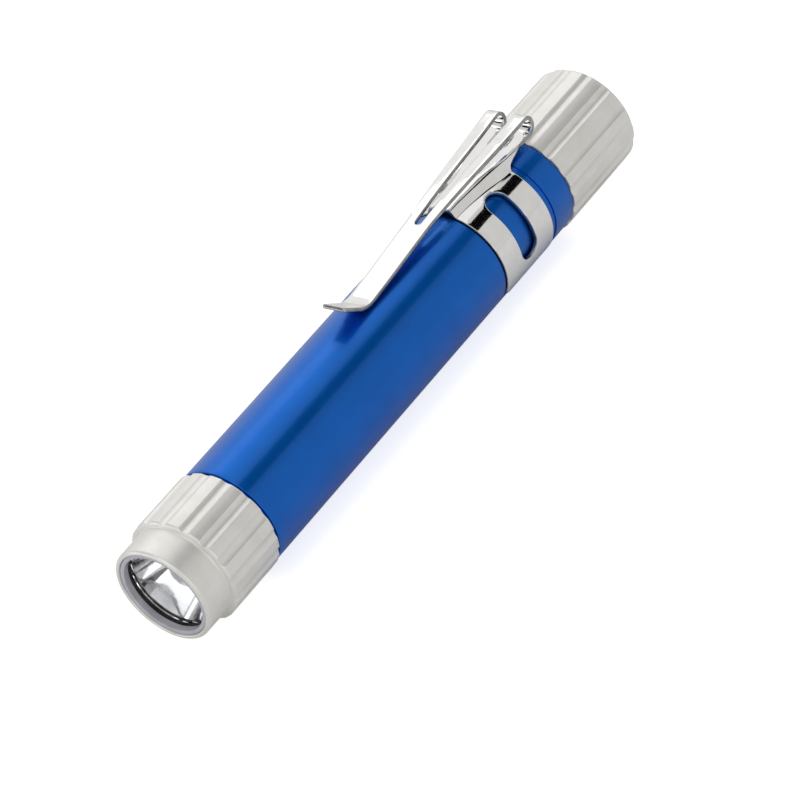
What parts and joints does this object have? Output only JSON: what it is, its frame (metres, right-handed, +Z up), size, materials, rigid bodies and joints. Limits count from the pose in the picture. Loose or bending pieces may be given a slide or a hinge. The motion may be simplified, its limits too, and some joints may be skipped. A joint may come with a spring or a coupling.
{
  "type": "pocket flashlight",
  "caption": "Slim pocket flashlight with a fluted screw-on bezel and tail cap, a reflector behind a clear lens, a rubber push button and a sprung chrome pocket clip.",
  "frame": {"origin": "on the floor, under the middle of the part's length", "axes": "+X along the barrel from the lens to the push button, +Z up through the pocket clip"},
  "size_m": [0.0952, 0.0146, 0.0178],
  "materials": {
    "blue_anodised": "satin blue anodised",
    "satin_aluminium": "satin silver anodised",
    "clip_chrome": "bright chrome plate",
    "black_rubber": "satin moulded rubber",
    "clear_lens": "clear polished",
    "reflector_mirror": "metallised",
    "led_resin": "clear moulded resin",
    "bright_steel": "bright wire",
    "white_plastic": "moulded",
    "black_plastic": "moulded",
    "board_green": "solder mask",
    "ferrite": "matt",
    "contact_brass": "turned",
    "cell_jacket": "printed film over steel"
  },
  "bodies": {
    "barrel": {"barrel": "blue_anodised", "clip_band": "clip_chrome", "led_emitter": "led_resin", "led_lead_positive": "bright_steel", "led_lead_negative": "bright_steel", "led_carrier": "white_plastic", "driver_board": "board_green", "driver_inductor": "ferrite", "driver_chip": "black_plastic", "driver_ground_ring": "contact_brass", "contact_insulator": "black_plastic", "positive_contact": "contact_brass", "battery_cell": "cell_jacket"},
    "clip_arm": {"clip_arm": "clip_chrome"},
    "head_seal": {"head_seal_ring": "black_rubber"},
    "bezel": {"bezel": "satin_aluminium", "lens": "clear_lens", "lens_seal": "black_rubber", "reflector": "reflector_mirror"},
    "tail_seal": {"tail_seal_ring": "black_rubber"},
    "tail_cap": {"tail_cap": "satin_aluminium", "retaining_ring": "contact_brass", "switch_housing": "black_plastic", "fixed_contact": "contact_brass", "tail_spring": "bright_steel", "switch_spring": "bright_steel"},
    "button": {"button_boot": "black_rubber", "switch_plunger": "white_plastic", "moving_contact": "contact_brass"}
  },
  "joints": [
    {"name": "tail_cap_turn", "type": "hinge", "parent": "barrel", "child": "tail_seal", "pos_m": [0.03053, 0, 0.00726], "axis": [1, 0, 0], "range_deg": [0, 1441]},
    {"name": "tail_cap_travel", "type": "slide", "parent": "tail_seal", "child": "tail_cap", "axis": [1, 0, 0], "range_m": [0, 0.0048]},
    {"name": "bezel_turn", "type": "hinge", "parent": "barrel", "child": "head_seal", "pos_m": [-0.03483, 0, 0.00726], "axis": [-1, 0, 0], "range_deg": [0, 1441]},
    {"name": "bezel_travel", "type": "slide", "parent": "head_seal", "child": "bezel", "axis": [-1, 0, 0], "range_m": [0, 0.0048]},
    {"name": "button_press", "type": "slide", "parent": "tail_cap", "child": "button", "axis": [-1, 0, 0], "range_m": [0, 0.0012], "stiffness_N_per_m": 500, "springref_m": -0.0004, "deforming": ["switch_spring"]},
    {"name": "clip_flex", "type": "hinge", "parent": "barrel", "child": "clip_arm", "pos_m": [0.03185, 0, 0.01631], "axis": [0, 1, 0], "range_deg": [0, 6], "stiffness_Nm_per_rad": 1.3, "springref_deg": -0.17}
  ],
  "couplings": [
    {"joint": "tail_cap_turn", "follows": "tail_cap_travel", "rad_per_m": 5236},
    {"joint": "bezel_turn", "follows": "bezel_travel", "rad_per_m": 5236}
  ]
}
